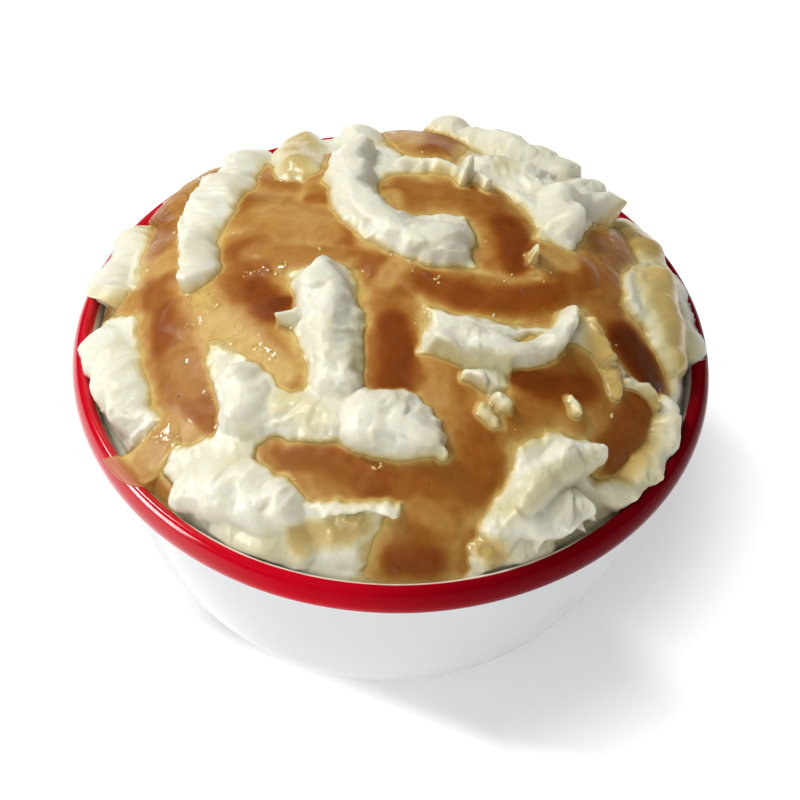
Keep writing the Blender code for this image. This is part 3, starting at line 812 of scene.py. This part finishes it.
# how dark the gravy looks, from 0 (gold) to 10 (nearly black), along (u, v, half width)
tones = {
    "crown": (1.5, (-42, 43, 7), (-43, 30, 6), (-43.5, 20, 4)),
    "left top": (0.9, (-47.5, 18, 5), (-46, 8, 4.5)),
    "left back": (2.6, (-48, 27, 4), (-47, 15, 4.4)),
    "left branch": (1.4, (-62, 9, 4), (-52.5, 1, 4)),
    "left dark": (3.8, (-44.5, -5, 3.6), (-44, -13, 4.2)),
    "left middle": (2, (-41, -17, 5), (-37, -23, 5)),
    "left low gold": (0.9, (-43, -30, 4), (-39, -33, 3.5)),
    "left low brown": (3, (-34.5, -28, 3.5), (-33.5, -34, 3)),
    "gold pool": (0.4, (-36, -6, 5), (-32, -13, 6.5), (-27, -18, 5), (-19, -25, 3.5)),
    "pit": (4.4, (-25.5, -5, 4), (-21.5, -11, 5)),
    "pit core": (5.5, (-21.5, -9.5, 2.4), (-19.5, -8.5, 1.8)),
    "pool": (1.25, (-24, 15, 7), (-14, 10, 7)),
    "pool spot": (3, (-16, 18.5, 2.4), (-13.5, 18, 2)),
    "pool band": (1.9, (-27, 5, 3.4), (-17.5, 3, 3.4), (-11, 2, 2.6)),
    "pool right": (0.8, (-5.5, 5, 3.2), (1.5, 2.5, 3.6), (-1.5, -4, 3.4)),
    "middle dark": (4.6, (0, -14, 4.2), (1.5, -20, 5), (1, -27, 5)),
    "middle gold": (1.4, (8.5, -19, 3.4), (9, -27, 3.8), (10, -38, 3.4)),
    "curl end": (1, (-1, 20, 3), (-1, 16, 3)),
    "curl middle": (2.5, (4, 22, 4), (12, 20.5, 4), (15, 17, 4)),
    "curl right": (4.6, (20.5, 14, 4.2), (22.5, 10, 4.6), (22.5, 3.5, 4.6)),
    "right pool": (3.9, (6, -4, 4), (14, -7, 4.6), (23.5, -6, 4.6), (30, -2, 4.2)),
    "gold pocket": (0.9, (28.5, 6, 3.4), (32.5, 6, 3.6)),
    "right stream": (2.4, (42, 20, 5), (41, 4.5, 5), (41.5, -2, 5)),
    "deep": (6.9, (45.5, -7, 5.6), (49.5, -10.5, 6), (53, -13.5, 5)),
    "right fall": (3.5, (50, -19.5, 5), (47.5, -26.5, 6), (45, -33, 5)),
    "lower right": (4.1, (23, -22.5, 4.6), (29, -24, 5), (36, -22, 5)),
    "lower middle": (3.2, (16.5, -34, 4), (19, -41, 4), (17.5, -46, 4)),
    "band gold": (2, (-24, -39.6, 2.8), (-22, -42.5, 2.2)),
    "band brown": (3.4, (-16.5, -41.5, 3.4), (-10, -42, 4.4), (-2, -46, 4.4)),
    "front": (3, (3, -46.5, 4), (10, -45, 4.4), (15.5, -46, 4.4)),
    "front light": (1.7, (6.5, -50.5, 3.4), (11, -52.5, 3.6)),
    "fall": (3.7, (2.5, -60.5, 4.6), (9.5, -60, 4.6)),
    "fall right": (2, (17, -55, 3), (17, -61, 3)),
    "back pool": (1, (-3, 54, 5), (2, 45, 5), (2, 39, 4)),
    "back dark": (2.8, (9, 46, 4), (8, 40, 3.6)),
}

# wet places that glitter, (u, v, half width)
sparkles = {
    "pool back": ((-23, 27.5, 1.2), (-21, 27, 1.2)),
    "pool middle": ((-27, -0.5, 1.2), (-21, -0.5, 1.4)),
    "gold": ((-36, -3.5, 1.4), (-33.5, -8, 1.6)),
    "gold left": ((-39, -4, 1), (-38, -11, 1.2)),
    "gold low": ((-24.5, -19, 1.2), (-22, -21, 1.2)),
    "curl foot": ((-9, 13, 1.2), (-4.5, 10, 1.2)),
    "rim run": ((-46, -31, 1.6), (-42, -34.5, 1.4)),
    "right pool end": ((4, -1, 1), (7.5, -3.5, 1)),
    "front lump": ((-7, -38.5, 0.9), (-2, -43.5, 1)),
    "front left": ((-4, -57, 0.8), (-4.5, -62, 1)),
    "chips": ((6, -19, 0.8), (13, -21, 0.9)),
    "step": ((24.5, 5.5, 1), (26.5, 3.5, 1)),
}


def gravyFinish():
    under = {"Subsurface_Weight": 0.1, "Subsurface_Radius": (1.0, 0.45, 0.15), "Subsurface_Scale": 0.8 * mm}
    finish = Finish("gravy", IOR=1.45, Specular_IOR_Level=0.16, Coat_Roughness=0.06, **under)
    dark = finish.field("dark")
    shine = finish.field("shine")
    cloud = finish.grain(5.0, 3.0, 0.55)
    patch = finish.grain(2.0, 2.0, 0.5, 0.6)
    deep = (dark / 10.0 + 0.16 * (cloud - 0.5) + 0.1 * (patch - 0.5)).atLeast(0.0)
    color = finish.node("ValToRGB", {"stops": sauce["stops"]}, {0: deep})
    edge = 1 - finish.field("wet").between(0.4, 0.85)
    color = finish.blend(edge * 0.7, color, sauce["edge"])
    color = finish.blend(finish.field("spilt"), color, sauce["overRed"])
    ripple = finish.grain(0.7, 2.0, 0.6)
    return finish.feed(
        Base_Color=color,
        Roughness=0.34 + 0.14 * cloud,
        Alpha=finish.field("wet").between(0.28, 0.66) * finish.field("deep").between(0.0, 0.06),
        Coat_Weight=0.8 * (shine * ripple.between(0.47, 0.53)).atLeast(patch.between(0.62, 0.7)),
        Normal=finish.bump(ripple * (0.1 + 1.3 * shine), 0.22),
    )


spill = {  # where the gravy has run over the rim
    "turn": math.radians(211.5),
    "halfTurn": math.radians(8.4),
    "start": 56.0,
    "thickness": 0.7,
    "from": 150.0,  # degrees round the bead
    "end": 34.0,
}


def spillPoints(u, v, points, upper):  # carries a patch of the gravy over the bead
    turn = np.arctan2(v, u) % math.tau
    across = (turn - spill["turn"]) / spill["halfTurn"]
    along = (np.hypot(u, v) - spill["start"]) / (spread - spill["start"])
    part = (np.abs(across) < 1) & (along > 0)
    across, along, turn = across[part], along[part], turn[part]
    start = points[part]
    r0, z0 = np.hypot(start[:, 0], start[:, 1]), start[:, 2]
    tip = np.sqrt(1 - across**2)
    walk = along * tip**0.6
    degrees = spill["from"] - (spill["from"] - spill["end"]) * walk
    thick = spill["thickness"] * tip**0.7 * np.sqrt(np.clip(1 - along**4, 0, 1)) + 0.05
    bead = beadPoint(degrees)
    lifted = beadPoint(degrees, 1.0) - bead
    lifted /= np.linalg.norm(lifted, axis=1)[:, None]
    bead = bead + lifted * np.where(upper[part], thick, 0.04)[:, None]
    join = ease(0.0, 0.35, walk)[:, None]
    made = np.stack([r0, z0], axis=1) * (1 - join) + bead * join
    result = points.copy()
    result[part] = np.stack([made[:, 0] * np.cos(turn), made[:, 0] * np.sin(turn), made[:, 1]], axis=1)
    spilt = np.zeros(len(points))
    spilt[part] = 0.85 * ease(0.2, 0.75, walk)
    return result, spilt


def rippled(gravy, u, v):
    for ripple in sauce["ripples"]:
        gravy = gravy + layer(ripple, u, v)
    return gravy


def thickness(above):  # of the gravy, which thins out in a soft fillet
    fillet = sauce["fillet"]
    return np.where(above < fillet, np.maximum(above + fillet, 0) ** 2 / (4 * fillet), above)


def makeGravy(piece):
    piece.name = "brown_gravy"
    u, v, mash, gravy = readFields(piece, "u", "v", "mash", "gravy")
    gravy = rippled(gravy, u, v)
    writePoints(piece, np.stack([u, v, gravy - mash - sauce["cut"] + sauce["fillet"]], axis=-1))
    writeField(piece, "gravy", gravy)
    openForEdit(piece, "FACE")
    selectAll()
    mesh.bisect(plane_co=(0, 0, 0), plane_no=(0, 0, 1), clear_inner=True, threshold=1e-6)
    makeTriangles()
    mesh.extrude_region_move(TRANSFORM_OT_translate={"value": (0, 0, 0.05)})
    closeEdit()
    upper = np.empty(len(piece.data.vertices), bool)  # the extruded sheet is the upper one
    piece.data.vertices.foreach_get("select", upper)
    u, v, mash, gravy = readFields(piece, "u", "v", "mash", "gravy")
    leanU, leanV, wet = readFields(piece, "leanU", "leanV", "wet")
    above = gravy - mash - sauce["cut"]
    deep = thickness(above)
    above = np.maximum(above, 0)
    grains = layer(sauce["grains"], u, v) * ease(0.0, 0.15, above) * ease(1.0, 0.3, above)
    raised = np.where(upper, mash + sauce["film"] + deep + grains, mash - sauce["under"])
    points, spilt = spillPoints(u, v, onDome(u + leanU, v + leanV, raised), upper)
    writePoints(piece, points)
    writeField(piece, "spilt", spilt)
    writeField(piece, "deep", deep)
    dark = np.clip(1.2 * above, 0, 3.2)
    for darkness, *path in tones.values():
        dark = dark + (darkness - dark) * ease(0, 0.7, inside(u, v, path)[1])
    writeField(piece, "dark", dark * ease(0.35, 0.85, wet))
    shine = np.zeros_like(u)
    for path in sparkles.values():
        shine = np.maximum(shine, ease(0, 0.6, inside(u, v, path)[1]))
    writeField(piece, "shine", shine)
    openForEdit(piece, "FACE")
    turnOutward()
    bpy.ops.object.shade_smooth_by_angle(angle=math.radians(70))
    piece.data.materials.append(gravyFinish())
    piece.visible_shadow = False  # light reaches the potato under the thin edges
    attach(piece, "root")
    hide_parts("gravy", "gravy_back")
    print("gravy made:", len(piece.data.polygons), "faces")


# crumbs of potato at the gravy's edge, wet grains in its glittering places, specks of pepper
loose = {  # millimetres
    "crumbs": {"count": 45, "tries": 4000, "depth": (0.3, 1.6), "size": (0.15, 0.36), "seed": 61},
    "wet grains": {"each": 5, "depth": 0.1, "size": (0.14, 0.34), "seed": 62},
    "pepper": {"size": (0.12, 0.22), "seed": 63},
    "sunk": 0.25,
    "dents": 0.5,
}
pepperPlaces = ((-5, -28), (-40.5, -25.5), (8, -46), (9.5, -58), (-25, -8), (24, -22), (40, 12), (12, 20))


def topAt(u, v):  # the height of what shows, and how deep the gravy is
    fields = reliefFields(u, v)
    above = rippled(fields["gravy"], u, v) - fields["mash"] - sauce["cut"]
    return fields["mash"] + thickness(above), above


def scatter(name, u, v, sizes, seed, finish):
    rng = np.random.default_rng(seed)
    places = onDome(u, v, topAt(u, v)[0] - loose["sunk"] * sizes)
    deselectAll()
    mesh.primitive_ico_sphere_add(subdivisions=2, radius=sizes[0] * mm, location=places[0] * mm)
    piece = bpy.context.object
    piece.name = name
    bpy.ops.object.transform_apply(location=True)
    bpy.ops.object.mode_set(mode="EDIT")
    for place, size in zip(places[1:], sizes[1:]):
        shape = rng.uniform(0.6, 1.5, 3)
        mesh.primitive_ico_sphere_add(
            subdivisions=2, radius=size * mm, location=place * mm, rotation=rng.uniform(0, 3, 3), scale=shape
        )
    closeEdit()
    points = readPoints(piece)
    owner = np.repeat(places, len(points) // len(places), axis=0)
    x, y, z = points.T
    dents = 1 + loose["dents"] * noise(x + 0.7 * z, y + 0.7 * z, 0.5, seed)
    writePoints(piece, owner + (points - owner) * dents[:, None])
    piece.data.shade_smooth()
    piece.data.materials.append(finish.material)
    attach(piece, "root")
    print(name, "made:", len(places), "grains")


def startLoose(kind):
    return loose[kind], np.random.default_rng(loose[kind]["seed"])


def makeLoose():
    values, rng = startLoose("crumbs")
    turn = rng.uniform(0, math.tau, values["tries"])
    far = spread * np.sqrt(rng.uniform(0, 0.8, values["tries"]))
    u, v = far * np.cos(turn), far * np.sin(turn)
    above = topAt(u, v)[1]
    least, most = values["depth"]
    kept = np.flatnonzero((above > least) & (above < most))[: values["count"]]
    sizes = rng.uniform(*values["size"], len(kept))
    shine = {"Coat_Weight": 0.4, "Coat_Roughness": 0.05}
    wet = Finish("wet_crumb", Base_Color=(0.66, 0.52, 0.24, 1), Roughness=0.3, **shine)
    scatter("potato_crumbs", u[kept], v[kept], sizes, 71, wet)
    values, rng = startLoose("wet grains")
    u, v = [], []
    for path in sparkles.values():
        for a, b, width in path:
            u += list(a + width * rng.uniform(-1, 1, values["each"]))
            v += list(b + width * rng.uniform(-1, 1, values["each"]))
    u, v = np.array(u), np.array(v)
    inGravy = topAt(u, v)[1] > values["depth"]
    u, v = u[inGravy], v[inGravy]
    sizes = rng.uniform(*values["size"], len(u))
    shine = {"Coat_Weight": 0.8, "Coat_Roughness": 0.04}
    gold = Finish("wet_grain", Base_Color=(0.6, 0.42, 0.13, 1), Roughness=0.2, **shine)
    scatter("gravy_grains", u, v, sizes, 72, gold)
    values, rng = startLoose("pepper")
    u, v = np.array(pepperPlaces, float).T
    sizes = rng.uniform(*values["size"], len(u))
    black = Finish("pepper", Base_Color=(0.02, 0.012, 0.008, 1), Roughness=0.5)
    scatter("black_pepper", u, v, sizes, 73, black)


studio = {
    "world": 0.22,
    "floor": 0.55,  # how much of the light the floor gives back
    "glow": 0.72,  # and its own glow: painted light, dimmer in a painted shadow near the bowl
    "paintedShadow": (0.53, 0.53, 0.53, 1),  # the share of that in the painted shadow near the bowl
    "bright": (1.06, 1.06, 1.06, 1),  # and far from it
    "lights": (  # name, turn and rise in degrees, distance, size across, size up, watts, shows in shine
        ("key", 153, 54, 1.1, 0.2, 0.36, 6.9, True),
        ("top", 215, 76, 1.2, 0.6, 0.6, 2.8, False),
        ("fill", 244, 38, 1.2, 0.9, 0.6, 4.1, False),
        ("back", 92, 45, 1.2, 1.0, 0.35, 0.4, True),
        ("shine", 193, 22, 1.1, 0.55, 0.45, 17.0, True),  # seen in the shine alone
    ),
}


def makeStudio():
    deselectAll()
    mesh.primitive_plane_add(size=6.0)
    floor = bpy.context.object
    floor.name = "floor"
    tone = studio["floor"]
    paper = Finish("paper", Base_Color=(tone, tone, tone, 1), Roughness=0.9, Specular_IOR_Level=0.0)
    x, y, z = paper.coordinates()
    x, y = x + 2 * mm, y - 20 * mm  # the painted shadow, where the floor glows less, lies where the shade falls
    reach = (x * x + y * y) ** 0.5
    frontRight = (0.5 * x - 0.87 * y - 0.93 * reach).between(0, 4 * mm)  # it's longer there
    # share of the floor outside the painted shadow, which glows brighter
    away = (reach - 11 * mm * frontRight).between(56 * mm, 84 * mm)
    frontLeft = (0 - 0.4 * x - 0.92 * y).between(51 * mm, 58 * mm)  # and it's cut off here
    away = away.atLeast(frontLeft).atLeast((0 - y).between(66 * mm, 75 * mm))
    paper.feed(Emission_Color=paper.blend(away, studio["paintedShadow"], studio["bright"]))
    paper.shader.inputs["Emission Strength"].default_value = studio["glow"]
    floor.data.materials.append(paper.material)
    world = bpy.data.worlds.new("studio")
    bpy.context.scene.world = world
    world.use_nodes = True
    background = world.node_tree.nodes["Background"]
    background.inputs["Color"].default_value = (1, 1, 1, 1)
    background.inputs["Strength"].default_value = studio["world"]
    world.cycles_visibility.glossy = False  # the surroundings stay out of the shine
    for name, turn, rise, distance, across, up, watts, shows in studio["lights"]:
        turn, rise = math.radians(turn), math.radians(rise)
        level = math.cos(rise)
        place = distance * Vector((math.cos(turn) * level, math.sin(turn) * level, math.sin(rise)))
        light = bpy.data.lights.new(name, "AREA")
        light.shape = "RECTANGLE"
        light.size, light.size_y = across, up
        light.energy = watts
        lamp = bpy.data.objects.new(name, light)
        link(lamp)
        lamp.location = place
        towards = Vector((0, 0, 0.05)) - place
        lamp.rotation_euler = towards.to_track_quat("-Z", "Y").to_euler()
        lamp.visible_glossy = shows
        lamp.visible_diffuse = name != "shine"


view = {  # the camera circles the middle of the rim
    "elevation": 46.78,
    "roll": 2.118,
    "distance": 0.7,
    "aim": (0.00195, -0.00733),
    "lens": 167.2,
    "sensor": 36,
}


def makeCamera():
    camera = bpy.data.cameras.new("camera")
    camera.sensor_width = view["sensor"]
    camera.lens = view["lens"]
    camera.clip_start = 0.01
    holder = bpy.data.objects.new("camera", camera)
    link(holder)
    rise = math.radians(view["elevation"])
    forward = Vector((0, math.cos(rise), -math.sin(rise)))
    right = Vector((1, 0, 0))
    up = right.cross(forward)
    middle = Vector((0, 0, beadCenter[1] * mm))
    place = middle - forward * view["distance"]
    across, upward = view["aim"]
    aim = middle + right * across + up * upward
    ahead = (aim - place).normalized()
    side = ahead.cross(up).normalized()
    over = side.cross(ahead)
    turned = Matrix((side, over, -ahead)).transposed().to_4x4()
    turned.translation = place
    holder.matrix_world = turned @ Matrix.Rotation(math.radians(view["roll"]), 4, "Z")
    bpy.context.scene.camera = holder
    bpy.context.scene.view_settings.view_transform = "Standard"


makeCamera()
makeBowl()
flatTop = makeSheet("heap_top")
makeMash(flatTop)
makeGravy(flatTop)
makeLoose()
makeStudio()
